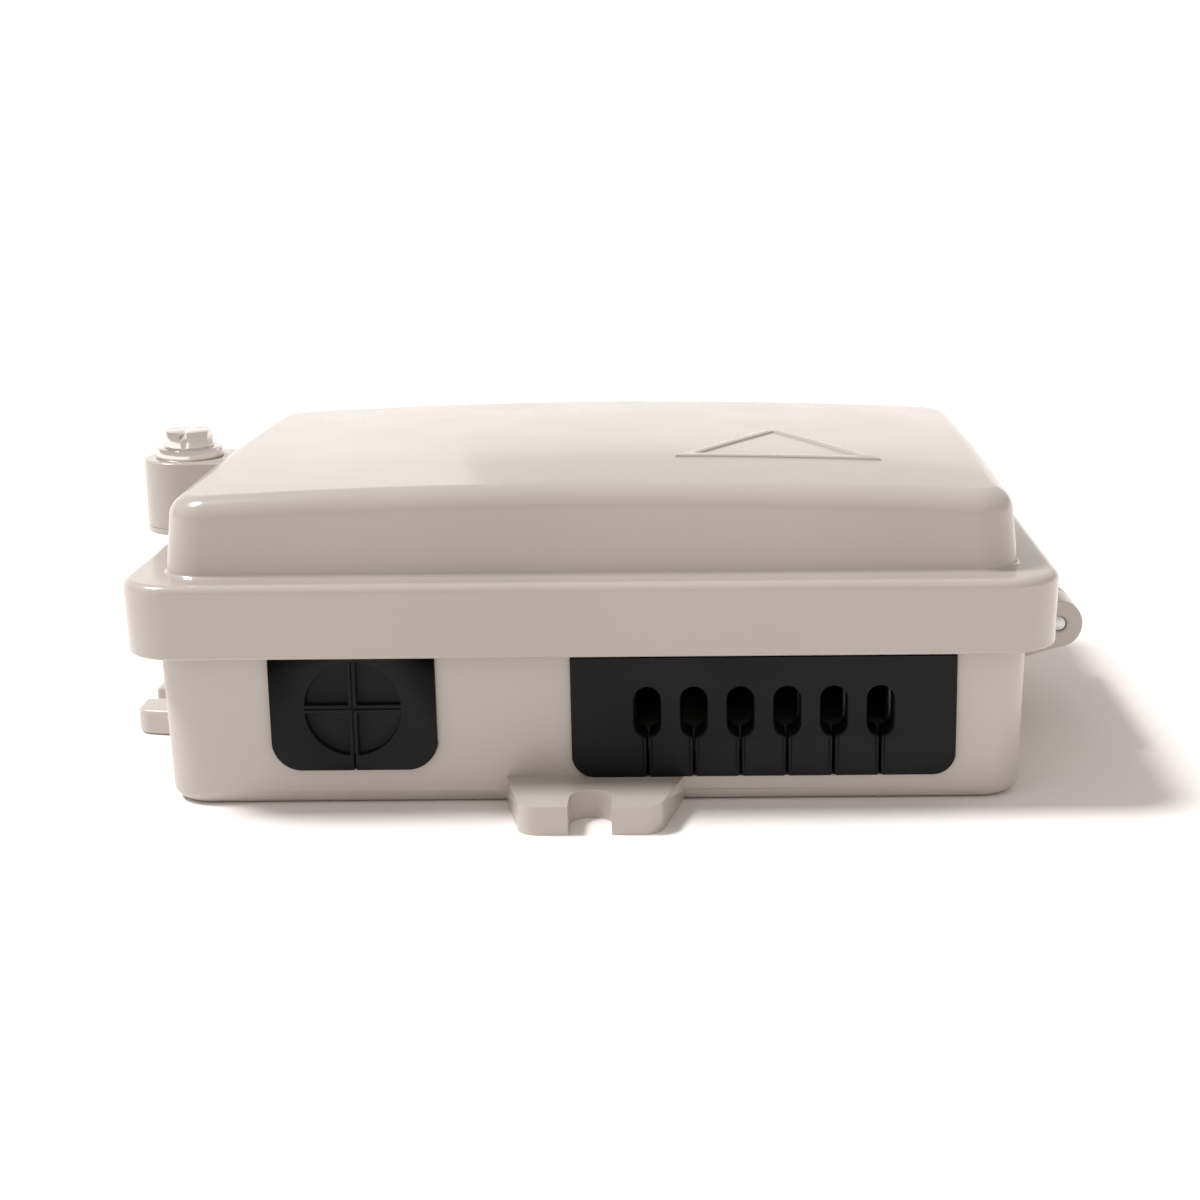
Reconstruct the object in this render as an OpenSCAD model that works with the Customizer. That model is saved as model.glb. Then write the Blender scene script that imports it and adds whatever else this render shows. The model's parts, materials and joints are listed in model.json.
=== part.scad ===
// Wall-mounted fibre termination box, lying on its back.
// +Z points away from the wall, -Y is the cable-entry side, +X is the hinge side.
// The origin is on the wall face, at the centre of the plan.

/* [Housing] */
// Width of the lid's rim
lid_w = 180; // [178:1:200]
// Depth of the lid's rim, from the cable entries to the back
lid_d = 134; // [130:1:150]
// Height of the closed box at the top of its crown
box_h = 63.2; // [62.2:0.2:70]
// Rise of the crowned top from its ends to its middle
crown = 2.4; // [1:0.2:3]
// Wall thickness of both shells
wall = 3; // [2.4:0.2:3.2]
// Height of the rim's lower edge
rim_low = 30.9; // [30.5:0.1:31.5]
// Height of the rim's upper edge
rim_high = 45.4; // [45:0.1:47]
// Plan corner radius of the rim
rim_corner = 11; // [8:0.5:13]
// How far the base's wall stands inside the rim
base_inset = 5.4; // [5.2:0.1:5.7]
// How far the raised middle of the lid stands inside the rim
raise_inset = 7.4; // [7.2:0.1:7.8]

/* [Mounting ears] */
// Width of an ear where it meets the wall
ear_w = 35; // [32:1:38]
// Width of an ear near its tip
ear_tip_w = 26; // [24:1:28]
// Length of an ear
ear_l = 17.6; // [16:0.2:20]
// Thickness of an ear
ear_t = 5.6; // [4:0.2:6]
// Width of the screw notch
notch_w = 8.2; // [5:0.2:9]
// Length of the screw notch
notch_l = 9.6; // [6:0.2:10]

/* [Cable entries] */
// Width of the feeder cable's cut-out
feeder_w = 32; // [30:0.2:34]
// Height of the feeder cut-out's lower edge
feeder_low = 7.5; // [6:0.5:9]
// Radius of the feeder grommet's thin disc
feeder_r = 9.3; // [7:0.1:10]
// Width of the drop cables' cut-out
drop_w = 74.4; // [72:0.2:78]
// Height of the drop cut-out's lower edge
drop_low = 5.4; // [5:0.2:7]
// Distance between two drop cable holes
drop_pitch = 9; // [8.6:0.1:9.4]
// Width of a drop cable hole
drop_hole_w = 5.2; // [4.4:0.2:5.6]
// Height of a drop cable hole
drop_hole_h = 10; // [8:0.5:11]

/* [Hinge and lock] */
// Outer radius of the hinge's knuckles
hinge_r = 5; // [4.5:0.1:5.2]
// Radius of the hinge pin
hinge_pin_r = 1.6; // [1.2:0.1:2]
// Length of the whole row of knuckles
hinge_l = 56; // [40:2:60]
// Radius of the lock's lug on the lid
lug_r = 9.7; // [8:0.1:10]
// Radius of the lock's knob
knob_r = 5.1; // [4:0.1:5.4]

/* [Inside] */
// Width of the splice tray
tray_w = 120; // [112:2:122]
// Depth of the splice tray
tray_d = 68; // [64:2:70]
// Distance between two adapters
adapter_pitch = 12.5; // [12.2:0.1:12.6]

/* [Hidden] */
$fn = 48;
PORTS = 6;
clearance = 0.15;
pin_play = 0.06;
eps = 0.01;

// Housing levels and faces
floor_t = 3;
base_h = rim_high - wall - 1.5;
base_w = lid_w - 2 * base_inset;
base_d = lid_d - 2 * base_inset;
base_corner = 8;
raise_w = lid_w - 2 * raise_inset;
raise_d = lid_d - 2 * raise_inset;
raise_corner = 8;
raise_ceiling = box_h - crown - wall;
crown_r = (pow(raise_w / 2, 2) + pow(crown, 2)) / (2 * crown);
front = -base_d / 2;
inner_front = front + wall;

// Relief on the lid
triangle_x = 37;
triangle_y = -16.6;
triangle_side = 42;
triangle_border = 3;
relief = 0.4;

// Mounting ears
ear_corner = 4;

// Cable entries, on the front wall
feeder_x = -46.2;
drop_x = 33;
feeder_corner = 5.8;
drop_corner = 4.4;
drop_hole_low = 13.7;
grommet_proud = 0.8;
grommet_depth = 8;
lip = 2.4;
lip_t = 2;
disc_z = 19.9;
slit = 0.4;
rib = 1.6;
disc_front = 1.6;
disc_back = 4.6;

// Hinge, its axis along Y on the right
hinge_x = lid_w / 2 + 5.4;
hinge_z = rim_low - 4.1;
knuckle_gap = 0.35;
lid_knuckle_l = 31;

// Lock, its axis along Z on the left
lock_x = -lid_w / 2;
lug_low = rim_high - 2.2;
lug_high = 59;
neck_r = 4.9;
neck_inner = 4.2;
stem_r = 2.4;
collar_r = 7;
knob_high = 64.8;
cam_z = 22;
cam_t = 2.6;
cam_l = 7.5;
cam_r = 3.2;
keeper_l = 5.4;
keeper_sink = 1;
keeper_back = 1.8;
keeper_notch = 7;
keeper_z = cam_z + 3.2;
keeper_w = 18;
keeper_h = rim_low - 0.7 - keeper_z;
cam_w = 5.4;
cam_screw_r = 1;
collar_sink = 1.2;
collar_h = 3.4;
knob_slot = 1.6;

// Adapters, in a row behind the drop entries
panel_t = 1.5;
panel_z = 6;
panel_h = 20;
panel_w = 92;
adapter_w = 9.2;
adapter_l = 28;
adapter_h = 12.8;
adapter_z = 16.5;
port_w = 7.4;
port_h = 8.8;
port_depth = 10.5;
sleeve_r = 1.7;
panel_screw_x = 41.5;
panel_screw_y = 7.5;
panel_foot = 12;

// Splice tray, above the adapters
tray_x = 2;
tray_y = 20;
tray_z = 28;
tray_h = 9;
tray_wall = 1.6;
tray_corner = 16;
tray_axis_x = tray_x + tray_w / 2 + 5;
tray_axis_z = tray_z + 4;
tray_axis_y = 34;
tray_knuckle_r = 3.4;
tray_knuckle_l = 14;
tray_pin_r = 1.5;
post_t = 4.4;
bracket_w = 9.2;
bracket_t = 2.4;
bracket_screw_y = 4;
guide_x = 30;
guide_r = 25;
holder_y = 11;
holder_pitch = 3.2;

// Cable fixings on the floor
screw_low = 1.4;
comb_y = -45;
comb_z = 6;
comb_t = 6;
comb_bar = 5;
comb_tooth = 15;
comb_screw_x = 36;
clamp_y = -44;
clamp_d = 9;
clamp_r = 5;
clamp_screw_x = 10.5;
clamp_w = 30;
clamp_gap = 0.6;
clamp_h = 7.4;
strength_y = -29;
strength_z = 10.5;
CLIP_PLACES = [[-66, -14], [-70, 14], [-66, 42]];

// ---- Shared shapes ----

// Rectangle with round corners, centred
module round_rect(w, d, r) {
    square([w - 2 * r, d], center = true);
    square([w, d - 2 * r], center = true);
    for (x = [-1, 1], y = [-1, 1])
        translate([x * (w / 2 - r), y * (d / 2 - r)]) circle(r);
}

module round_block(w, d, r, low, high) {
    translate([0, 0, low]) linear_extrude(high - low) round_rect(w, d, r);
}

// Block given by its middle in X and Y and by its lower face
module block(x, y, z, w, d, h) {
    translate([x - w / 2, y - d / 2, z]) cube([w, d, h]);
}

// Cylinder along Y, centred on y
module rod_y(x, y, z, r, l) {
    translate([x, y + l / 2, z]) rotate([90, 0, 0]) cylinder(r = r, h = l);
}

module rod_z(x, y, z, r, h) {
    translate([x, y, z]) cylinder(r = r, h = h);
}

// Extrudes an X-Z outline along Y, from y to y + l
module slab_y(y, l) {
    translate([0, y + l, 0]) rotate([90, 0, 0]) linear_extrude(l) children();
}

// U-shaped outline in X-Z: round lower corners, open top
module u_outline(x, w, low, high, r) {
    translate([x - w / 2, low + r]) square([w, high - low - r]);
    translate([x - w / 2 + r, low]) square([w - 2 * r, r + 1]);
    for (s = [-1, 1]) translate([x + s * (w / 2 - r), low + r]) circle(r);
}

// Pan-head screw pointing down, its head's underside at z
module pan_screw(x, y, z, r, l) {
    difference() {
        union() {
            rod_z(x, y, z - l, r, l + eps);
            rod_z(x, y, z, 1.85 * r, r);
        }
        block(x, y, z + 0.45 * r, 2.2 * r, 0.5 * r, r);
        block(x, y, z + 0.45 * r, 0.5 * r, 2.2 * r, r);
    }
}

function drop_hole_x(i) = drop_x + (i - (PORTS + 1) / 2) * drop_pitch;
function adapter_x(i) = drop_x + (i - (PORTS + 1) / 2) * adapter_pitch;

// ---- Base ----

// Plan of an ear that points along -Y from the origin
module ear_outline() {
    taper = atan((ear_w - ear_tip_w) / 2 / ear_l);
    cy = ear_l - ear_corner;
    cx = ear_w / 2 - cy * tan(taper) - ear_corner / cos(taper);
    tx = cx + ear_corner * cos(taper);
    ty = cy + ear_corner * sin(taper);
    polygon([[-ear_w / 2, 3], [ear_w / 2, 3], [ear_w / 2, 0], [tx, -ty], [cx, -ear_l],
             [-cx, -ear_l], [-tx, -ty], [-ear_w / 2, 0]]);
    for (s = [-1, 1]) translate([s * cx, -cy]) circle(ear_corner);
}

// Ear with a notch, open at its tip, for a wall screw
module ear() {
    back = ear_l - notch_l + notch_w / 2;
    difference() {
        linear_extrude(ear_t) ear_outline();
        block(0, -back - 10, -1, notch_w, 20, ear_t + 2);
        rod_z(0, -back, -1, notch_w / 2, ear_t + 2);
    }
}

// Side knuckles of the hinge, with the arms that carry them under the rim
module base_knuckles() {
    side_l = (hinge_l - lid_knuckle_l) / 2 - knuckle_gap;
    for (s = [-1, 1]) {
        middle = s * (hinge_l / 2 - side_l / 2);
        difference() {
            union() {
                rod_y(hinge_x, middle, hinge_z, hinge_r, side_l);
                slab_y(middle - side_l / 2, side_l) polygon([
                    [base_w / 2 - 1, hinge_z - 9], [base_w / 2 - 1, rim_low - 0.8],
                    [hinge_x, rim_low - 0.8], [hinge_x, hinge_z - hinge_r]]);
            }
            rod_y(hinge_x, middle, hinge_z, hinge_pin_r, side_l + 2);
        }
    }
}

module screw_boss(x, y, h, r = 3.2) {
    rod_z(x, y, floor_t - eps, r, h + eps);
}

module base_screw_holes() {
    for (s = [-1, 1]) {
        rod_z(drop_x + s * panel_screw_x, panel_screw_y, screw_low, 1.5, 20);
        rod_z(drop_x + s * comb_screw_x, comb_y, screw_low, 1.3, 20);
        rod_z(feeder_x + s * clamp_screw_x, clamp_y, screw_low, 1.5, 20);
        rod_z(tray_axis_x, tray_axis_y + s * bracket_screw_y, screw_low, 1.3, 20);
    }
    rod_z(feeder_x, strength_y, screw_low, 1.5, 20);
}

module base_shell() {
    color("#d8d2c6") difference() {
        union() {
            difference() {
                round_block(base_w, base_d, base_corner, 0, base_h);
                round_block(base_w - 2 * wall, base_d - 2 * wall, base_corner - wall,
                            floor_t, base_h + 1);
            }
            translate([0, front, 0]) ear();
            translate([0, -front, 0]) rotate(180) ear();
            translate([-base_w / 2, 0, 0]) rotate(-90) ear();
            base_knuckles();
            for (s = [-1, 1]) {
                screw_boss(drop_x + s * panel_screw_x, panel_screw_y, panel_z - floor_t);
                screw_boss(drop_x + s * comb_screw_x, comb_y, comb_z - floor_t);
            }
            screw_boss(feeder_x, strength_y, 3, 4.5);
            for (s = [-1, 1])
                rod_z(tray_x - tray_w / 2 + 12, tray_y + s * 24, floor_t - eps, 2.5,
                      tray_z - floor_t + eps);
        }
        slab_y(front - 1, wall + 2)
            u_outline(feeder_x, feeder_w, feeder_low, base_h + 1, feeder_corner);
        slab_y(front - 1, wall + 2)
            u_outline(drop_x, drop_w, drop_low, base_h + 1, drop_corner);
        keeper_block();
        base_screw_holes();
    }
}

// ---- Lid ----

// Raised middle, its top a shallow arch across X
module raised_solid(inset, low, top) {
    intersection() {
        round_block(raise_w - 2 * inset, raise_d - 2 * inset, raise_corner - inset, low, top + 1);
        translate([0, raise_d, top - crown_r]) rotate([90, 0, 0])
            cylinder(r = crown_r, h = 2 * raise_d, $fn = 360);
    }
}

// Blank triangle in low relief, its point towards the back
module triangle_relief() {
    outer = triangle_side / sqrt(3);
    inner = outer - 2 * triangle_border;
    translate([triangle_x, triangle_y, box_h - crown - 1])
        linear_extrude(crown + 2) difference() {
            polygon([for (a = [90, 210, 330]) outer * [cos(a), sin(a)]]);
            polygon([for (a = [90, 210, 330]) inner * [cos(a), sin(a)]]);
        }
}

module lid_knuckle() {
    slab_y(-lid_knuckle_l / 2, lid_knuckle_l) polygon([
        [lid_w / 2 - 1, rim_low], [lid_w / 2 - 1, rim_low + 9],
        [hinge_x + hinge_r * 0.6, hinge_z + hinge_r * 0.8], [hinge_x, hinge_z]]);
    rod_y(hinge_x, 0, hinge_z, hinge_r, lid_knuckle_l);
}

// Lug that carries the lock, with a neck down the outside of the rim
module lock_lug() {
    rod_z(lock_x, 0, lug_low, lug_r, lug_high - lug_low);
    block((lock_x - raise_w / 2 + 1) / 2, 0, rim_high - 0.5,
          -lock_x - raise_w / 2 + 1, 2 * lug_r, lug_high - rim_high + 0.5);
    intersection() {
        rod_z(lock_x, 0, rim_low, neck_r, rim_high - rim_low);
        block(lock_x + neck_inner - 5, 0, rim_low, 10, 2 * neck_r, rim_high - rim_low);
    }
}

module lid_shell() {
    color("#e4dfd4") difference() {
        union() {
            round_block(lid_w, lid_d, rim_corner, rim_low, rim_high);
            raised_solid(0, rim_high - 1, box_h);
            lid_knuckle();
            lock_lug();
        }
        round_block(lid_w - 2 * wall, lid_d - 2 * wall, rim_corner - wall,
                    rim_low - 1, rim_high - wall);
        round_block(raise_w - 2 * wall, raise_d - 2 * wall, raise_corner - wall,
                    rim_high - wall - 1, raise_ceiling);
        rod_y(hinge_x, 0, hinge_z, hinge_pin_r + pin_play, lid_knuckle_l + 2);
        rod_z(lock_x, 0, rim_low - 1, stem_r + pin_play, lug_high);
        rod_z(lock_x, 0, lug_high - collar_sink, collar_r, 5);
    }
    color("#d9d4c8") intersection() {
        triangle_relief();
        raised_solid(2, rim_high, box_h + relief);
    }
}

module lid_seal() {
    color("#30302f") difference() {
        round_block(base_w, base_d, base_corner, base_h, rim_high - wall);
        round_block(base_w - 2 * wall, base_d - 2 * wall, base_corner - wall,
                    base_h - 1, rim_high);
    }
}

// ---- Grommets ----

module grommet_body(x, w, low, corner) {
    slab_y(front - grommet_proud, grommet_depth)
        u_outline(x, w, low, base_h, corner);
    slab_y(inner_front, lip_t)
        u_outline(x, w + 2 * lip, low - lip, base_h, corner + lip);
}

module feeder_grommet() {
    outer = front - grommet_proud;
    color("#1c1b1c") difference() {
        grommet_body(feeder_x, feeder_w, feeder_low, feeder_corner);
        difference() {
            rod_y(feeder_x, outer, disc_z, feeder_r, 2 * disc_front);
            block(feeder_x, outer, disc_z - feeder_r, rib, 4, 2 * feeder_r);
            block(feeder_x, outer, disc_z - rib / 2, 2 * feeder_r, 4, rib);
        }
        rod_y(feeder_x, outer + grommet_depth, disc_z, feeder_r, 2 * disc_back);
    }
}

module drop_grommet() {
    outer = front - grommet_proud;
    r = drop_hole_w / 2;
    color("#1c1b1c") difference() {
        grommet_body(drop_x, drop_w, drop_low, drop_corner);
        for (i = [1:PORTS]) {
            slab_y(outer - 1, grommet_depth + 2) union() {
                translate([drop_hole_x(i) - r, drop_hole_low + r])
                    square([2 * r, drop_hole_h - 2 * r]);
                translate([drop_hole_x(i), drop_hole_low + r]) circle(r);
                translate([drop_hole_x(i), drop_hole_low + drop_hole_h - r]) circle(r);
            }
            block(drop_hole_x(i), outer + grommet_depth / 2, 0, slit, grommet_depth + 4,
                  drop_hole_low + 1);
        }
    }
}

// ---- Hinge pin and lock ----

module hinge_pin() {
    color("#a9adb0") rod_y(hinge_x, 0, hinge_z, hinge_pin_r, hinge_l - 1);
}

module lock_collar() {
    color("#3a3836") difference() {
        rod_z(lock_x, 0, lug_high - collar_sink, collar_r, collar_h);
        rod_z(lock_x, 0, lug_high - 2, knob_r + pin_play, 6);
    }
}

module lock_knob() {
    color("#e9dfc4") difference() {
        union() {
            rod_z(lock_x, 0, lug_high - collar_sink, knob_r, knob_high - lug_high + collar_sink);
            rod_z(lock_x, 0, cam_z, stem_r, lug_high - cam_z);
        }
        block(lock_x, 0, knob_high - 2, knob_slot, 2 * knob_r + 1, 3);
        rod_z(lock_x, 0, cam_z - 1, cam_screw_r, 8);
    }
}

// Tongue that points away from the box when the lock is open
module lock_cam() {
    color("#b9a46a") difference() {
        union() {
            rod_z(lock_x, 0, cam_z - cam_t, cam_r, cam_t);
            block(lock_x - cam_l / 2, 0, cam_z - cam_t, cam_l, cam_w, cam_t);
        }
        rod_z(lock_x, 0, cam_z - cam_t - 1, cam_screw_r, cam_t + 2);
    }
}

module lock_cam_screw() {
    color("#a9adb0") union() {
        rod_z(lock_x, 0, cam_z - cam_t, cam_screw_r, cam_t + 5);
        rod_z(lock_x, 0, cam_z - cam_t - 1.4, 2.6, 1.4);
    }
}

// Block of the lock's keeper, its root sunk in the base's wall
module keeper_block() {
    block(-base_w / 2 - (keeper_l - keeper_sink) / 2, 0, keeper_z,
          keeper_l + keeper_sink, keeper_w, keeper_h);
}

// Ledge that the lock's cam turns under, notched for the lock's stem
module lock_keeper() {
    color("#a9adb0") difference() {
        keeper_block();
        block(-base_w / 2 - keeper_back - 5, 0, keeper_z - 1, 10, keeper_notch, keeper_h + 2);
    }
}

// ---- Splice tray ----

// Half-round wall that keeps the fibres' bend, open towards the tray's middle
module bend_guide(s) {
    difference() {
        rod_z(tray_x + s * guide_x, tray_y, tray_z + tray_wall - eps, guide_r,
              tray_h - tray_wall - 1.4);
        rod_z(tray_x + s * guide_x, tray_y, tray_z, guide_r - tray_wall, tray_h + 2);
        block(tray_x + s * (guide_x - guide_r), tray_y, tray_z, 2 * guide_r, 60, tray_h + 2);
    }
}

module splice_tray() {
    color("#e8e8e6") difference() {
        union() {
            translate([tray_x, tray_y, 0]) difference() {
                round_block(tray_w, tray_d, tray_corner, tray_z, tray_z + tray_h);
                round_block(tray_w - 2 * tray_wall, tray_d - 2 * tray_wall,
                            tray_corner - tray_wall, tray_z + tray_wall, tray_z + tray_h + 1);
            }
            for (s = [-1, 1]) bend_guide(s);
            rod_y(tray_axis_x, tray_axis_y, tray_axis_z, tray_knuckle_r, tray_knuckle_l);
            block(tray_axis_x - 3, tray_axis_y, tray_axis_z - 2, 5.5, tray_knuckle_l, 4);
        }
        rod_y(tray_axis_x, tray_axis_y, tray_axis_z, tray_pin_r + pin_play, tray_knuckle_l + 2);
        for (y = [-1, 1])
            block(tray_x - tray_w / 2, tray_y + y * 12, tray_z + tray_wall, 8, 7, tray_h);
    }
}

module tray_cover() {
    color("#cfd8dc", 0.4) translate([tray_x, tray_y, 0])
        round_block(tray_w, tray_d, tray_corner, tray_z + tray_h, tray_z + tray_h + 1.2);
}

module tray_hinge_pin() {
    color("#a9adb0")
        rod_y(tray_axis_x, tray_axis_y, tray_axis_z, tray_pin_r,
              tray_knuckle_l + 2 * (knuckle_gap + post_t));
}

// Foot with two posts that carry the tray's hinge pin
module tray_bracket() {
    color("#e8e8e6") difference() {
        union() {
            block(tray_axis_x, tray_axis_y, floor_t, bracket_w,
                  tray_knuckle_l + 2 * (knuckle_gap + post_t), bracket_t);
            for (s = [-1, 1]) {
                y = tray_axis_y + s * (tray_knuckle_l / 2 + knuckle_gap + post_t / 2);
                block(tray_axis_x, y, floor_t, 2 * tray_knuckle_r, post_t, tray_axis_z - floor_t);
                rod_y(tray_axis_x, y, tray_axis_z, tray_knuckle_r, post_t);
            }
        }
        rod_y(tray_axis_x, tray_axis_y, tray_axis_z, tray_pin_r, 40);
        for (s = [-1, 1])
            rod_z(tray_axis_x, tray_axis_y + s * bracket_screw_y, floor_t - 1, 1.5, bracket_t + 2);
    }
}

module tray_bracket_screws() {
    color("#a9adb0") for (s = [-1, 1])
        pan_screw(tray_axis_x, tray_axis_y + s * bracket_screw_y, floor_t + bracket_t, 1.3, 3.6);
}

// Block with grooves that grip the splice sleeves
module splice_holder(s) {
    low = tray_z + tray_wall;
    color("#3f4448") difference() {
        block(tray_x, tray_y + s * holder_y, low, 26, 20, 5);
        for (i = [-2.5:2.5])
            translate([tray_x - 20, tray_y + s * holder_y + i * holder_pitch, low + 4.2])
                rotate([0, 90, 0])
                cylinder(r = 1.25, h = 40);
    }
}

// ---- Adapters ----

module adapter_panel() {
    color("#c3c6c8") difference() {
        union() {
            block(drop_x, panel_t / 2, panel_z, panel_w, panel_t, panel_h);
            block(drop_x, (panel_t + panel_foot) / 2, panel_z, panel_w, panel_foot, panel_t);
        }
        for (i = [1:PORTS])
            block(adapter_x(i), 0, adapter_z - adapter_h / 2 - 0.1,
                  adapter_w + 0.2, 8, adapter_h + 0.2);
        for (s = [-1, 1]) rod_z(drop_x + s * panel_screw_x, panel_screw_y, panel_z - 1, 1.7, 4);
    }
}

module sc_adapter(i) {
    x = adapter_x(i);
    low = adapter_z - adapter_h / 2;
    color("#2f9e57") difference() {
        union() {
            block(x, 0, low, adapter_w, adapter_l, adapter_h);
            block(x, -1.1, low - 1.2, adapter_pitch - 0.8, 2, adapter_h + 2.4);
        }
        for (s = [-1, 1]) {
            y = s * (adapter_l / 2 - port_depth / 2 + 0.5);
            block(x, y, adapter_z - port_h / 2, port_w, port_depth + 1, port_h);
            block(x, y, adapter_z, 2.4, port_depth + 1, port_h / 2 + 1.1);
        }
        rod_y(x, 0, adapter_z, sleeve_r, adapter_l);
    }
}

module sc_sleeve(i) {
    color("#f3f1ea") difference() {
        rod_y(adapter_x(i), 0, adapter_z, sleeve_r, 6.8);
        rod_y(adapter_x(i), 0, adapter_z, 1.25, 10);
    }
}

module dust_cap(i) {
    x = adapter_x(i);
    mouth = -adapter_l / 2;
    color("#d9d6cf") union() {
        block(x, mouth + 4.5, adapter_z - port_h / 2 + clearance,
              port_w - 2 * clearance, 9.02, port_h - 2 * clearance);
        block(x, mouth - 2.1, adapter_z - 5.4, 8.8, 4.2, 10.8);
        block(x, mouth - 5, adapter_z - 3.4, 3, 3, 6.8);
    }
}

module adapter_panel_screws() {
    color("#a9adb0") for (s = [-1, 1])
        pan_screw(drop_x + s * panel_screw_x, panel_screw_y, panel_z + panel_t, 1.5, 5.8);
}

// ---- Cable fixings ----

// Comb that holds each drop cable behind its hole
module drop_comb() {
    color("#d5d0c4") difference() {
        union() {
            block(drop_x, comb_y, comb_z, 78, comb_t, comb_bar);
            for (i = [0:PORTS])
                block(drop_hole_x(i) + drop_pitch / 2, comb_y, comb_z,
                      drop_pitch - drop_hole_w - slit, comb_t, comb_tooth);
        }
        for (s = [-1, 1]) rod_z(drop_x + s * comb_screw_x, comb_y, comb_z - 1, 1.5, 20);
    }
}

module drop_comb_screws() {
    color("#a9adb0") for (s = [-1, 1])
        pan_screw(drop_x + s * comb_screw_x, comb_y, comb_z + comb_bar, 1.3, 9.4);
}

// Lower half of the feeder cable's clamp
module feeder_cradle() {
    color("#d5d0c4") difference() {
        block(feeder_x, clamp_y, floor_t, clamp_w, clamp_d, disc_z - clamp_gap - floor_t);
        rod_y(feeder_x, clamp_y, disc_z, clamp_r, clamp_d + 2);
        for (s = [-1, 1]) rod_z(feeder_x + s * clamp_screw_x, clamp_y, floor_t - 1, 1.5, 20);
    }
}

// Upper half of the feeder cable's clamp
module feeder_clamp() {
    color("#d5d0c4") difference() {
        block(feeder_x, clamp_y, disc_z + clamp_gap, clamp_w, clamp_d, clamp_h);
        rod_y(feeder_x, clamp_y, disc_z, clamp_r, clamp_d + 2);
        for (s = [-1, 1]) rod_z(feeder_x + s * clamp_screw_x, clamp_y, disc_z, 1.7, 20);
    }
}

module feeder_clamp_screws() {
    color("#a9adb0") for (s = [-1, 1])
        pan_screw(feeder_x + s * clamp_screw_x, clamp_y, disc_z + clamp_gap + clamp_h, 1.5, 25.8);
}

// Post with a cross hole for the cable's strength member
module strength_post() {
    color("#c2a24c") difference() {
        union() {
            rod_z(feeder_x, strength_y, 6, 3.6, 9);
            rod_z(feeder_x, strength_y, 3.5, 1.5, 3);
        }
        rod_y(feeder_x, strength_y, strength_z, 1.6, 12);
        rod_z(feeder_x, strength_y, strength_z, 1.25, 8);
    }
}

module strength_screw() {
    color("#a9adb0") pan_screw(feeder_x, strength_y, 15, 1.25, 3);
}

// Open ring on a pad, for loose fibres
module fibre_clip(i) {
    place = CLIP_PLACES[i - 1];
    color("#e8e8e6") translate([place[0], place[1], 0]) union() {
        block(0, 0, floor_t, 10, 7, 1.6);
        difference() {
            rod_y(0, 0, floor_t + 7, 5.6, 4);
            rod_y(0, 0, floor_t + 7, 4.3, 6);
            block(0, 0, floor_t + 10, 3, 6, 5);
        }
    }
}

base_shell();
lid_shell();
lid_seal();
feeder_grommet();
drop_grommet();
hinge_pin();
lock_knob();
lock_collar();
lock_cam();
lock_cam_screw();
lock_keeper();
splice_tray();
tray_cover();
tray_bracket();
tray_bracket_screws();
tray_hinge_pin();
splice_holder(-1);  // splice_holder_1
splice_holder(1);  // splice_holder_2
adapter_panel();
adapter_panel_screws();
drop_comb();
drop_comb_screws();
feeder_cradle();
feeder_clamp();
feeder_clamp_screws();
strength_post();
strength_screw();
for (i = [1:3]) fibre_clip(i);
for (i = [1:PORTS]) {
    sc_adapter(i);
    sc_sleeve(i);
    dust_cap(i);
}
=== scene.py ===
"""Looks of a fibre termination box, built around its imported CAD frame. Lengths are in metres."""
import json
import math

import bmesh
import bpy
from mathutils import Matrix, Vector


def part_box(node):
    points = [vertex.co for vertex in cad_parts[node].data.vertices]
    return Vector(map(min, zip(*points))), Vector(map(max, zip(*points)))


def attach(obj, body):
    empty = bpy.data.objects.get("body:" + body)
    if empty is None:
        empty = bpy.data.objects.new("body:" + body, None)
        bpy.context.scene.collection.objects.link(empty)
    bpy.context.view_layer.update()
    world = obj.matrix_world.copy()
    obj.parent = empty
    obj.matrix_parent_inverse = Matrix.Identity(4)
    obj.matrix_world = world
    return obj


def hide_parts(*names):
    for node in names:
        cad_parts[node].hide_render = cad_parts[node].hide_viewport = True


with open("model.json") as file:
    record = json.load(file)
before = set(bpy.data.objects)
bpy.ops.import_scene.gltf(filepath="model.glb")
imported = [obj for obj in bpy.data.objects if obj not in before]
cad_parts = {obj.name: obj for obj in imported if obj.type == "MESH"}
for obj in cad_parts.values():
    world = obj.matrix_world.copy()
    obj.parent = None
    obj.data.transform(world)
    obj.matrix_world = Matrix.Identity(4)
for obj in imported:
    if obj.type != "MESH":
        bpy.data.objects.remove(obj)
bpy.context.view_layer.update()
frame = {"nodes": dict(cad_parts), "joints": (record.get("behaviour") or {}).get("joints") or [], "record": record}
MM = 0.001

# ---- Driving places, read from the frame where it holds them ----

LID_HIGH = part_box("lid_shell")[1]
SEAL_LOW, SEAL_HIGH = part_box("lid_seal")
JOINTS = {joint["name"]: joint for joint in frame["joints"]}

HINGE = Vector(JOINTS["lid_hinge"]["pos_m"])
LOCK = Vector(JOINTS["lock_turn"]["pos_m"])
# FAR lies past every side of the box, and HAIR is a gap too small to see.
FAR = 0.2
HAIR = 0.02 * MM
WALL = 3 * MM
RIM_W = -2 * LOCK.x
RIM_D = 2 * LID_HIGH.y
RIM_LOW = HINGE.z + 4.1 * MM
RIM_HIGH = SEAL_HIGH.z + WALL
RIM_CORNER = 11 * MM
BASE_W = SEAL_HIGH.x - SEAL_LOW.x
BASE_D = SEAL_HIGH.y - SEAL_LOW.y
BASE_TOP = SEAL_LOW.z
BASE_CORNER = 8 * MM
FLOOR = 3.05 * MM
RAISE_INSET = 7.4 * MM
RAISE_CORNER = 8 * MM
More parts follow.
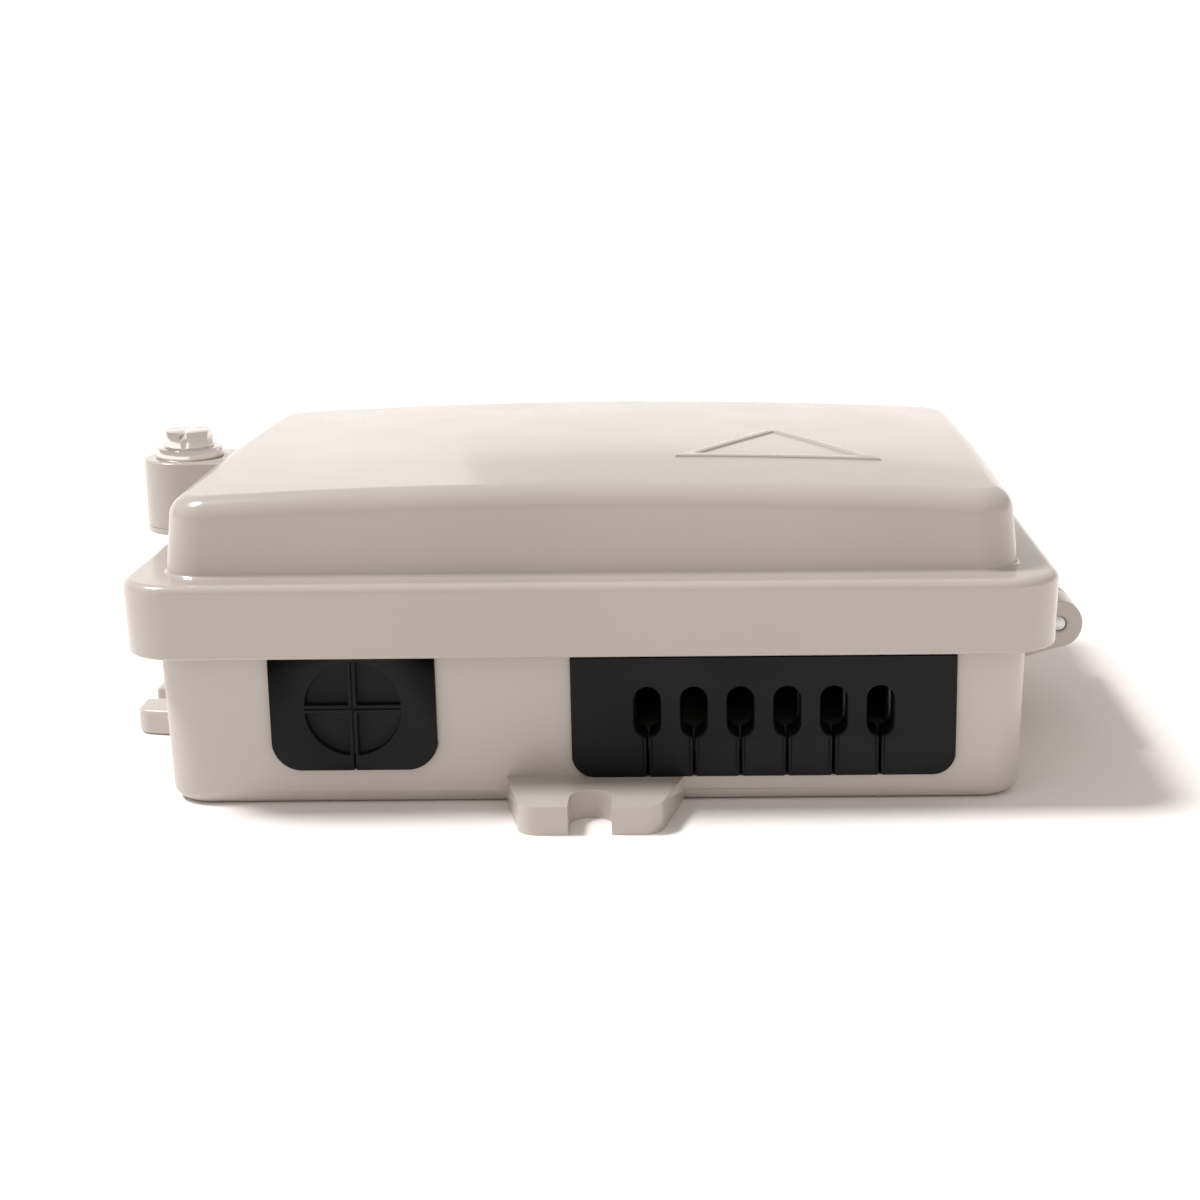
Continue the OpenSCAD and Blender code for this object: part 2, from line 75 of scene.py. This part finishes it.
# What a corner's radius loses for each millimetre that a round-over goes inward.
CORNER_LOSS = 0.8
LIP = 2.4 * MM
ENTRY_CORNER = {"feeder_grommet": 5.8 * MM, "drop_grommet": 4.4 * MM}
FEEDER_DISC_Z = 19.9 * MM
FEEDER_DISC_R = 9.3 * MM
DROP_COUNT = 6
DROP_PITCH = 9 * MM
TRIANGLE_SIDE = 42 * MM
TRIANGLE_CENTRE = Vector((37 * MM, -16.6 * MM))
CROWN_X = 2.4 * MM
CROWN_Y = 0.9 * MM
ROUND_OVER = 4.2 * MM
END_FACE = RIM_W / 2 - RAISE_INSET
TOP = CROWN_X + max(v.co.z for v in frame["nodes"]["lid_shell"].data.vertices
                    if abs(v.co.x - END_FACE) < 0.01 * MM)


# ---- Mesh helpers ----

# Edges that turn by more degrees than this are rounded.
SHARP = 35


def rounded_ring(w, d, r, along=20, corner=8):
    """Points of a rounded rectangle, the same number whatever its size."""
    r = max(min(r, w / 2, d / 2), 0)
    points = []
    sides = [((w / 2 - r, -d / 2 + r), -90), ((w / 2 - r, d / 2 - r), 0),
             ((-w / 2 + r, d / 2 - r), 90), ((-w / 2 + r, -d / 2 + r), 180)]
    for k, (centre, start) in enumerate(sides):
        arc = [(centre[0] + r * math.cos(math.radians(start + 90 * i / corner)),
                centre[1] + r * math.sin(math.radians(start + 90 * i / corner)))
               for i in range(corner + 1)]
        points += arc
        next_centre, next_start = sides[(k + 1) % 4]
        begin = arc[-1]
        end = (next_centre[0] + r * math.cos(math.radians(next_start)),
               next_centre[1] + r * math.sin(math.radians(next_start)))
        for i in range(1, along):
            t = i / along
            points.append((begin[0] + (end[0] - begin[0]) * t, begin[1] + (end[1] - begin[1]) * t))
    return points


def loft(name, rings):
    """Closed skin through rings of equal point counts; its first and last rings meet or collapse."""
    bm = bmesh.new()
    rows = [[bm.verts.new(p) for p in ring] for ring in rings]
    count = len(rows[0])
    for low, high in zip(rows, rows[1:]):
        for i in range(count):
            j = (i + 1) % count
            bm.faces.new((low[i], low[j], high[j], high[i]))
    bmesh.ops.remove_doubles(bm, verts=bm.verts, dist=1e-6)
    bmesh.ops.dissolve_degenerate(bm, dist=1e-7, edges=bm.edges)
    bmesh.ops.recalc_face_normals(bm, faces=bm.faces)
    return to_object(bm, name)


def to_object(bm, name):
    """New object that takes the bmesh's geometry."""
    mesh = bpy.data.meshes.new(name)
    bm.to_mesh(mesh)
    bm.free()
    obj = bpy.data.objects.new(name, mesh)
    bpy.context.scene.collection.objects.link(obj)
    return obj


def clean_bmesh(mesh, angle=0.6):
    """A mesh with its seams merged and its flat faces whole."""
    bm = bmesh.new()
    bm.from_mesh(mesh)
    bmesh.ops.remove_doubles(bm, verts=bm.verts, dist=2e-6)
    bmesh.ops.dissolve_limit(bm, angle_limit=math.radians(angle), verts=bm.verts, edges=bm.edges,
                             use_dissolve_boundaries=False, delimit=set())
    return bm


def bevel(bm, edges, width, segments):
    bmesh.ops.bevel(bm, geom=edges, offset=width, segments=segments, profile=0.5, affect="EDGES",
                    clamp_overlap=True)


def bevel_sharp(bm, width, segments):
    """Rounds every sharp edge."""
    edges = [e for e in bm.edges
             if len(e.link_faces) == 2 and e.calc_face_angle(0) > math.radians(SHARP)]
    if edges:
        bevel(bm, edges, width, segments)


def shade(obj, limit=32):
    """Smooth shading that stays sharp at edges over limit degrees."""
    for polygon in obj.data.polygons:
        polygon.use_smooth = True
    obj.data.set_sharp_from_angle(angle=math.radians(limit))


def combine(obj, other, operation):
    """Boolean of obj with other, applied; other is removed."""
    modifier = obj.modifiers.new("combine", "BOOLEAN")
    modifier.operation = operation
    modifier.solver = "EXACT"
    modifier.object = other
    bpy.context.view_layer.update()
    evaluated = obj.evaluated_get(bpy.context.evaluated_depsgraph_get())
    mesh = bpy.data.meshes.new_from_object(evaluated)
    obj.modifiers.clear()
    old = obj.data
    obj.data = mesh
    bpy.data.meshes.remove(old)
    bpy.data.objects.remove(other)
    return obj


def box_object(low, high):
    """Box between two corners."""
    bm = bmesh.new()
    bmesh.ops.create_cube(bm, size=1)
    for v in bm.verts:
        for axis in range(3):
            v.co[axis] = high[axis] if v.co[axis] > 0 else low[axis]
    return to_object(bm, "cutter")


def cad_part(node, low, high, width, root=None):
    """The piece of a CAD node inside a box, with its sharp edges rounded.

    root is (axis, place, shift): the cut face there is drawn further into the shell.
    """
    touching = 0.005 * MM
    piece = to_object(clean_bmesh(frame["nodes"][node].data), "feature")
    piece = combine(piece, box_object(low, high), "INTERSECT")
    bm = clean_bmesh(piece.data)
    if root:
        axis, place, shift = root
        for v in bm.verts:
            if abs(v.co[axis] - place) < touching:
                v.co[axis] += shift
    bevel_sharp(bm, width, 3)
    bm.to_mesh(piece.data)
    bm.free()
    return piece


# ---- Materials ----

# Stretch of a noise's output that ramps and ranges are spread over.
NOISE_LOW = 0.2
NOISE_HIGH = 0.8


def new_material(name):
    material = bpy.data.materials.new(name)
    material.use_nodes = True
    tree = material.node_tree
    return material, tree, tree.nodes["Principled BSDF"]


def noise(tree, scale, detail):
    coords = tree.nodes.new("ShaderNodeTexCoord")
    node = tree.nodes.new("ShaderNodeTexNoise")
    node.inputs["Scale"].default_value = scale
    node.inputs["Detail"].default_value = detail
    tree.links.new(coords.outputs["Object"], node.inputs["Vector"])
    return node


def ramp(tree, source, low, high):
    """Eased colour ramp between two colours."""
    node = tree.nodes.new("ShaderNodeValToRGB")
    node.color_ramp.interpolation = "EASE"
    node.color_ramp.elements[0].position = NOISE_LOW
    node.color_ramp.elements[1].position = NOISE_HIGH
    node.color_ramp.elements[0].color = (*low, 1)
    node.color_ramp.elements[1].color = (*high, 1)
    tree.links.new(source.outputs["Fac"], node.inputs["Fac"])
    return node


def value_range(tree, source, low, high):
    """Eased range between two values."""
    node = tree.nodes.new("ShaderNodeMapRange")
    node.interpolation_type = "SMOOTHSTEP"
    node.inputs["From Min"].default_value = NOISE_LOW
    node.inputs["From Max"].default_value = NOISE_HIGH
    node.inputs["To Min"].default_value = low
    node.inputs["To Max"].default_value = high
    tree.links.new(source.outputs["Fac"], node.inputs["Value"])
    return node


def bump(tree, shader, source, strength, distance):
    node = tree.nodes.new("ShaderNodeBump")
    node.inputs["Strength"].default_value = strength
    node.inputs["Distance"].default_value = distance
    tree.links.new(source.outputs["Fac"], node.inputs["Height"])
    tree.links.new(node.outputs["Normal"], shader.inputs["Normal"])


def moulded(name, color, roughness, grain=900, depth=0.01, tint=0.04, coat=0.0, metal=0.0,
            spec=0.5):
    """Moulded plastic, rubber or metal: slow colour drift, fine grain and uneven gloss.

    grain is the noise scale of the surface texture, depth its height in millimetres and tint
    the share by which the colour drifts.
    """
    material, tree, shader = new_material(name)
    drift = noise(tree, 18, 1)
    darker = tuple(c * (1 - tint) for c in color)
    lighter = tuple(min(c * (1 + tint), 1) for c in color)
    tree.links.new(ramp(tree, drift, darker, lighter).outputs["Color"], shader.inputs["Base Color"])
    smears = noise(tree, 60, 2)
    tree.links.new(value_range(tree, smears, *roughness).outputs["Result"],
                   shader.inputs["Roughness"])
    bump(tree, shader, noise(tree, grain, 2), 0.25, depth * MM)
    shader.inputs["Coat Weight"].default_value = coat
    shader.inputs["Coat Roughness"].default_value = 0.08
    shader.inputs["Metallic"].default_value = metal
    shader.inputs["Specular IOR Level"].default_value = spec
    return material


def clear_plastic(name):
    material, tree, shader = new_material(name)
    shader.inputs["Base Color"].default_value = (0.93, 0.96, 0.98, 1)
    shader.inputs["IOR"].default_value = 1.5
    shader.inputs["Transmission Weight"].default_value = 0.0
    shader.inputs["Alpha"].default_value = 0.28
    smears = noise(tree, 40, 4)
    tree.links.new(value_range(tree, smears, 0.04, 0.14).outputs["Result"],
                   shader.inputs["Roughness"])
    return material


# Colour, then the least and the greatest roughness.
MATERIALS = {
    "base_plastic": moulded("base_plastic", (0.545, 0.505, 0.458), (0.29, 0.38), coat=0.25),
    "lid_plastic": moulded("lid_plastic", (0.475, 0.437, 0.392), (0.19, 0.265), depth=0.005,
                           coat=0.5),
    "black_rubber": moulded("black_rubber", (0.006, 0.006, 0.0072), (0.42, 0.6), grain=500,
                            depth=0.03, tint=0.2, spec=0.2),
    "steel": moulded("steel", (0.60, 0.60, 0.60), (0.29, 0.4), grain=700, tint=0.05, metal=1.0),
    "plated_metal": moulded("plated_metal", (0.80, 0.78, 0.74), (0.08, 0.16), grain=700,
                            depth=0.004, tint=0.03, metal=1.0),
    "dark_plastic": moulded("dark_plastic", (0.05, 0.05, 0.05), (0.35, 0.5)),
    "brass": moulded("brass", (0.72, 0.50, 0.20), (0.29, 0.4), grain=700, tint=0.08, metal=1.0),
    "white_plastic": moulded("white_plastic", (0.78, 0.78, 0.76), (0.3, 0.42)),
    "clear_plastic": clear_plastic("clear_plastic"),
    "panel_metal": moulded("panel_metal", (0.62, 0.63, 0.64), (0.3, 0.42), grain=600, tint=0.06,
                           metal=1.0),
    "green_plastic": moulded("green_plastic", (0.02, 0.27, 0.09), (0.29, 0.4)),
    "ceramic": moulded("ceramic", (0.85, 0.84, 0.80), (0.1, 0.2)),
    "cap_plastic": moulded("cap_plastic", (0.62, 0.61, 0.57), (0.35, 0.5)),
}
SLOT_OF = {part["node"]: part["material_slot"] for part in frame["record"]["subparts"]}
BODY_OF = {node: body for body, nodes in frame["record"]["behaviour"]["bodies"].items()
           for node in nodes}


def dress(obj, node, even=False):
    """Gives a piece the node's material and lets it stand for the node.

    even keeps the wide flat faces of a shell free of shading from its features.
    """
    slot = SLOT_OF[node]
    obj.data.materials.clear()
    obj.data.materials.append(MATERIALS[slot])
    shade(obj)
    if even:
        modifier = obj.modifiers.new("even_normals", "WEIGHTED_NORMAL")
        modifier.mode = "FACE_AREA"
        modifier.keep_sharp = True
    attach(obj, BODY_OF[node])
    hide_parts(node)
    return obj


# ---- Lid ----

def top_z(x, y):
    """Height of the crowned top over a point of the plan."""
    half_w = RIM_W / 2 - RAISE_INSET
    half_d = RIM_D / 2 - RAISE_INSET
    return TOP - CROWN_X * (x / half_w) ** 2 - CROWN_Y * (y / half_d) ** 2


def level_ring(w, d, inset, z, r):
    """Level ring inside a rectangle."""
    return [(x, y, z) for x, y in rounded_ring(w - 2 * inset, d - 2 * inset, r)]


def crown_ring(inset, drop, r):
    """Ring at a depth below the crowned top."""
    return [(x, y, top_z(x, y) - drop)
            for x, y in rounded_ring(RIM_W - 2 * inset, RIM_D - 2 * inset, r)]


def quarter(r, steps):
    """(across, down) offsets of a round-over, from the wall to the top."""
    for i in range(steps + 1):
        a = math.radians(90 * i / steps)
        yield r * (1 - math.cos(a)), r * (1 - math.sin(a))


def rim_ring(inset, z, r):
    return level_ring(RIM_W, RIM_D, inset, z, r)


def lid_rings():
    """Outside of the lid, from the rim's lower edge to the middle of the top."""
    rim_draft = 0.3 * MM
    raise_draft = 0.9 * MM
    edge = 0.6 * MM
    lip = 1.7 * MM
    foot = 0.7 * MM
    rings = [rim_ring(WALL, RIM_LOW, RIM_CORNER - WALL)]
    for across, down in reversed(list(quarter(edge, 4))):
        rings.append(rim_ring(rim_draft + across, RIM_LOW + down, RIM_CORNER - across))
    for across, down in quarter(lip, 7):
        rings.append(rim_ring(across, RIM_HIGH - down, RIM_CORNER - across))
    for i in range(6):
        a = math.radians(90 * i / 5)
        inward = foot * math.sin(a)
        rings.append(rim_ring(RAISE_INSET - foot + inward, RIM_HIGH + foot * (1 - math.cos(a)),
                              RAISE_CORNER + foot - inward))
    for across, down in quarter(ROUND_OVER, 12):
        rings.append(crown_ring(RAISE_INSET + raise_draft + across, down,
                                RAISE_CORNER - CORNER_LOSS * across))
    begin = RAISE_INSET + raise_draft + ROUND_OVER
    middle = RIM_D / 2
    steps = 14
    for i in range(1, steps + 1):
        inset = begin + (middle - begin) * i / steps
        r = (RAISE_CORNER - CORNER_LOSS * ROUND_OVER) * (1 - i / steps)
        rings.append(crown_ring(inset, 0, r))
    return rings


def lid_inner_rings():
    """Inside of the lid, from the rim's lower edge to the middle of the ceiling."""
    inner = RAISE_INSET + WALL
    fillet = 2 * MM
    ceiling = TOP - CROWN_X - WALL
    rings = [rim_ring(WALL, RIM_LOW, RIM_CORNER - WALL),
             rim_ring(WALL, RIM_HIGH - WALL, RIM_CORNER - WALL),
             rim_ring(inner, RIM_HIGH - WALL, RAISE_CORNER - WALL)]
    for across, down in quarter(fillet, 5):
        rings.append(rim_ring(inner + across, ceiling - down,
                              RAISE_CORNER - WALL - CORNER_LOSS * across))
    rings.append(rim_ring(RIM_D / 2, ceiling, 0))
    return rings


def make_lid():
    """Shell of the lid with the lock's lug and neck and the hinge's middle knuckle."""
    lid = loft("lid_shell_skin", list(reversed(lid_inner_rings())) + lid_rings()[1:])
    half = 9.7 * MM
    lug_root = LOCK.x + RAISE_INSET - 0.3 * MM
    lug = cad_part("lid_shell", (-FAR, -half, RIM_HIGH - 1 * MM), (lug_root, half, FAR), 0.7 * MM,
                   (0, lug_root, 2.2 * MM))
    neck = cad_part("lid_shell", (-FAR, -half, 0),
                    (LOCK.x + 4.1 * MM, half, RIM_HIGH - 0.8 * MM), 0.4 * MM)
    edge = RIM_W / 2 + HAIR
    knuckle = cad_part("lid_shell", (edge, -FAR, 0), (FAR, FAR, FAR), 0.5 * MM,
                       (0, edge, -1.5 * MM))
    for feature in (lug, neck, knuckle):
        lid = combine(lid, feature, "UNION")
    return dress(lid, "lid_shell", even=True)


def make_triangle():
    """Blank triangular frame in low relief on the crowned top."""
    per_side = 16
    border = 2.6 * MM
    soft = 0.25 * MM
    high = 0.35 * MM
    sunk = -0.6 * MM

    def outline(shrink):
        radius = TRIANGLE_SIDE / math.sqrt(3) - 2 * shrink
        corners = [TRIANGLE_CENTRE + radius * Vector((math.cos(a), math.sin(a)))
                   for a in map(math.radians, (90, 210, 330))]
        points = []
        for k in range(3):
            begin, end = corners[k], corners[(k + 1) % 3]
            points += [begin.lerp(end, i / per_side) for i in range(per_side)]
        return points

    def at(shrink, rise):
        return [(p.x, p.y, top_z(p.x, p.y) + rise) for p in outline(shrink)]

    ease = 0.4 * soft
    rings = [at(0, sunk), at(0, high - soft), at(ease, high - ease), at(soft, high),
             at(border - soft, high), at(border - ease, high - ease),
             at(border, high - soft), at(border, sunk), at(0, sunk)]
    triangle = loft("lid_triangle", rings)
    triangle.data.materials.append(MATERIALS["lid_plastic"])
    shade(triangle, 50)
    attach(triangle, "lid")


# ---- Base ----

def base_ring(inset, z, r):
    return level_ring(BASE_W, BASE_D, inset, z, r)


def base_rings():
    """Skin of the base, from the middle of its underside over the wall to the floor's middle."""
    draft = 0.9 * MM
    fillet = 3 * MM
    edge = 0.4 * MM
    floor_fillet = 1.5 * MM
    inner_corner = BASE_CORNER - WALL
    rings = [base_ring(BASE_D / 2, 0, 0)]
    for across, up in reversed(list(quarter(fillet, 8))):
        rings.append(base_ring(draft * (1 - up / BASE_TOP) + across, up,
                               BASE_CORNER - 0.7 * across))
    for across, down in quarter(edge, 3):
        rings.append(base_ring(across, BASE_TOP - down, BASE_CORNER - across))
    for across, down in reversed(list(quarter(edge, 3))):
        rings.append(base_ring(WALL - across, BASE_TOP - down, inner_corner + across))
    for across, up in quarter(floor_fillet, 5):
        rings.append(base_ring(WALL + across, FLOOR + up, inner_corner - CORNER_LOSS * across))
    rings.append(base_ring(BASE_D / 2, FLOOR, 0))
    return rings


def prism(outline, near, deep):
    """Solid between two places along Y with the same X-Z outline."""
    bm = bmesh.new()
    rows = [[bm.verts.new((x, y, z)) for x, z in outline] for y in (near, deep)]
    n = len(outline)
    for i in range(n):
        bm.faces.new((rows[0][i], rows[0][(i + 1) % n], rows[1][(i + 1) % n], rows[1][i]))
    bm.faces.new(rows[0])
    bm.faces.new(rows[1])
    bmesh.ops.recalc_face_normals(bm, faces=bm.faces)
    return to_object(bm, "cutter")


def entry_cutter(node):
    """Prism that cuts a grommet's opening: round lower corners, open top."""
    low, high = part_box(node)
    x0, x1, z0 = low.x + LIP, high.x - LIP, low.z + LIP
    above = BASE_TOP + 5 * MM
    r = ENTRY_CORNER[node]
    steps = 10
    outline = []
    for cx, start in ((x0 + r, 180), (x1 - r, 270)):
        for i in range(steps + 1):
            a = math.radians(start + 90 * i / steps)
            outline.append((cx + r * math.cos(a), z0 + r + r * math.sin(a)))
    outline += [(x1, above), (x0, above)]
    return prism(outline, -BASE_D / 2 - 3 * MM, -BASE_D / 2 + WALL + 2.2 * MM)


def soften_entries(base):
    """Small chamfer round the cut-outs of the front wall."""
    bm = clean_bmesh(base.data, 0.3)
    front = -BASE_D / 2
    boxes = [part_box(node) for node in ENTRY_CORNER]

    def on_cut_out(v):
        at_front = front - 0.1 * MM < v.co.y < front + 1.1 * MM and v.co.z < BASE_TOP - 1 * MM
        return at_front and any(low.x < v.co.x < high.x and v.co.z > low.z for low, high in boxes)

    edges = [e for e in bm.edges
             if len(e.link_faces) == 2 and e.calc_face_angle(0) >= math.radians(50)
             and all(on_cut_out(v) for v in e.verts)]
    bevel(bm, edges, 0.3 * MM, 2)
    bm.to_mesh(base.data)
    bm.free()


def make_base():
    """Shell of the base with its posts, three ears and two hinge knuckles."""
    base = loft("base_shell_skin", base_rings())
    inset = WALL + 0.6 * MM
    inner_x, inner_y = BASE_W / 2 - inset, BASE_D / 2 - inset
    side = BASE_W / 2 + HAIR
    end = BASE_D / 2 + HAIR
    ear_top = 10 * MM
    ear_edge, ear_root = 0.9 * MM, 2.9 * MM
    knuckle_edge, knuckle_root = 0.5 * MM, 1.5 * MM
    features = [
        ((-inner_x, -inner_y, FLOOR - 0.15 * MM), (inner_x, inner_y, BASE_TOP - 1 * MM),
         0.3 * MM, None),
        ((-FAR, -FAR, -FAR), (FAR, -end, FAR), ear_edge, (1, -end, ear_root)),
        ((-FAR, end, -FAR), (FAR, FAR, FAR), ear_edge, (1, end, -ear_root)),
        ((-FAR, -FAR, -FAR), (-side, FAR, ear_top), ear_edge, (0, -side, ear_root)),
        ((side, -FAR, 0), (FAR, 0, FAR), knuckle_edge, (0, side, -knuckle_root)),
        ((side, 0, 0), (FAR, FAR, FAR), knuckle_edge, (0, side, -knuckle_root)),
    ]
    for node in ENTRY_CORNER:
        base = combine(base, entry_cutter(node), "DIFFERENCE")
    soften_entries(base)
    for low, high, width, root in features:
        base = combine(base, cad_part("base_shell", low, high, width, root), "UNION")
    return dress(base, "base_shell", even=True)


# ---- Grommets ----

def cut_box(obj, low, high):
    """Cuts a box out of obj."""
    return combine(obj, box_object(low, high), "DIFFERENCE")


def make_feeder_grommet():
    """Rubber plug with a cross slit in its disc, a slit below it and two notched top corners."""
    low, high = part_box("feeder_grommet")
    x = (low.x + high.x) / 2
    z = FEEDER_DISC_Z
    r = FEEDER_DISC_R
    slit = 0.16 * MM
    lower_slit = 1.3 * slit
    near = low.y - MM
    far = low.y + 0.4 * MM
    bm = clean_bmesh(frame["nodes"]["feeder_grommet"].data)
    bevel_sharp(bm, 0.5 * MM, 3)
    grommet = to_object(bm, "feeder_grommet_skin")
    grommet = cut_box(grommet, (x - slit, near, z - r), (x + slit, far, z + r))
    grommet = cut_box(grommet, (x - r, near, z - slit), (x + r, far, z + slit))
    grommet = cut_box(grommet, (x - lower_slit, near, low.z + LIP - MM),
                      (x + lower_slit, low.y + 1.2 * MM, z - r + 0.3 * MM))
    gap = RIM_LOW - 1 * MM
    over = RIM_LOW + 2 * MM
    lean = 2.5 * MM
    left = low.x + LIP - MM
    right = high.x - LIP + MM
    for outer, inner, top in ((left, left + 13 * MM, left + 13 * MM + lean),
                              (right, right - 10 * MM, right - 10 * MM - lean)):
        corner = prism([(outer, gap), (inner, gap), (top, over), (outer, over)],
                       near, low.y + 1.8 * MM)
        grommet = combine(grommet, corner, "DIFFERENCE")
    return dress(grommet, "feeder_grommet")


def make_drop_grommet():
    """Rubber plug with a sloped foot and, below each slot, a V notch and two fine slits."""
    low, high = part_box("drop_grommet")
    front = low.y
    near = front - MM
    foot = low.z + LIP
    crease = foot + 7.4 * MM
    slope = 0.7 * MM
    bm = clean_bmesh(frame["nodes"]["drop_grommet"].data)
    bmesh.ops.bisect_plane(bm, geom=bm.verts[:] + bm.edges[:] + bm.faces[:], dist=1e-6,
                           plane_co=(0, 0, crease), plane_no=(0, 0, 1))
    for v in bm.verts:
        if v.co.z < crease and v.co.y < front + 0.1 * MM:
            v.co.y += slope * (crease - v.co.z) / (crease - foot)
    bevel_sharp(bm, 0.45 * MM, 3)
    grommet = to_object(bm, "drop_grommet_skin")
    grommet = cut_box(grommet, (low.x - MM, near, RIM_LOW - 1.3 * MM),
                      (high.x + MM, front + 2.2 * MM, high.z + MM))
    middle = (low.x + high.x) / 2
    notch = 0.9 * MM
    slit = 0.13 * MM
    slit_from, slit_to = foot + 1.2 * MM, foot + 8.1 * MM
    for i in range(DROP_COUNT):
        x = middle + (i - (DROP_COUNT - 1) / 2) * DROP_PITCH
        cutter = prism([(x - notch, foot - 0.5 * MM), (x + notch, foot - 0.5 * MM),
                        (x, foot + notch)], near, front + 2 * MM)
        grommet = combine(grommet, cutter, "DIFFERENCE")
        for edge in (x - 0.85 * MM, x + 0.85 * MM):
            grommet = cut_box(grommet, (edge - slit, near, slit_from),
                              (edge + slit, front + 0.75 * MM, slit_to))
    return dress(grommet, "drop_grommet")


# ---- The other pieces keep their CAD shape, with rounded edges ----

def refine(node):
    """The CAD shape with its edges rounded and its material."""
    bm = clean_bmesh(frame["nodes"][node].data)
    bevel_sharp(bm, 0.25 * MM, 2)
    return dress(to_object(bm, node + "_piece"), node)


make_lid()
make_triangle()
make_base()
make_feeder_grommet()
make_drop_grommet()
for node in sorted(frame["nodes"]):
    if node not in ("lid_shell", "base_shell", "feeder_grommet", "drop_grommet"):
        refine(node)


# ---- Stage, light and camera ----

def backdrop(name, left, right, rise, material):
    """Floor that bends up into a low white wall behind the box."""
    near, flat, deep = -2.5, 0.3, 2.2
    bend = 1.5
    steps = 40
    profile = [(near, 0.0), (flat, 0.0)]
    for i in range(1, steps + 1):
        a = math.radians(90 * i / steps)
        z = bend - bend * math.cos(a)
        if z > rise:
            break
        profile.append((deep - bend + bend * math.sin(a), z))
    bm = bmesh.new()
    rows = [[bm.verts.new((x, y, z)) for x in (left, right)] for y, z in profile]
    for row, following in zip(rows, rows[1:]):
        bm.faces.new((row[0], row[1], following[1], following[0]))
    sheet = to_object(bm, name)
    sheet.data.materials.append(material)
    shade(sheet, 60)


def make_stage():
    """Two white sheets side by side; the left one rises further and shines in the lid's top."""
    material, _, shader = new_material("studio_white")
    shader.inputs["Base Color"].default_value = (0.945, 0.915, 0.905, 1)
    shader.inputs["Roughness"].default_value = 0.9
    shader.inputs["Specular IOR Level"].default_value = 0.0
    half = 3.0
    step = -0.25
    backdrop("studio_floor", step, half, 0.42, material)
    backdrop("studio_floor_left", -half, step, 1.4, material)


def make_lights():
    """Even light from all round and a wide, soft key from the upper left."""
    world = bpy.data.worlds.new("studio")
    bpy.context.scene.world = world
    world.use_nodes = True
    background = world.node_tree.nodes["Background"]
    background.inputs["Color"].default_value = (1, 0.935, 0.905, 1)
    background.inputs["Strength"].default_value = 0.58
    data = bpy.data.lights.new("key", "SUN")
    data.energy = 2.85
    data.angle = math.radians(14)
    key = bpy.data.objects.new("key", data)
    key.rotation_euler = Vector((-0.53, 0.06, 0.85)).to_track_quat("Z", "Y").to_euler()
    bpy.context.scene.collection.objects.link(key)


def make_camera():
    """Camera in front of the box, a little above it and right of its middle."""
    tilt_down = 13.48
    data = bpy.data.cameras.new("camera")
    data.sensor_width = 36
    data.lens = 61.5
    data.shift_x = -0.089
    data.shift_y = -0.005
    camera = bpy.data.objects.new("camera", data)
    camera.location = (0.0222, -0.4411, 0.1329)
    pitch = Matrix.Rotation(math.radians(90 - tilt_down), 3, "X")
    roll = Matrix.Rotation(math.radians(-0.48), 3, "Z")
    camera.rotation_euler = (pitch @ roll).to_euler()
    bpy.context.scene.collection.objects.link(camera)
    bpy.context.scene.camera = camera


make_stage()
make_lights()
make_camera()
bpy.context.scene.view_settings.view_transform = "Standard"
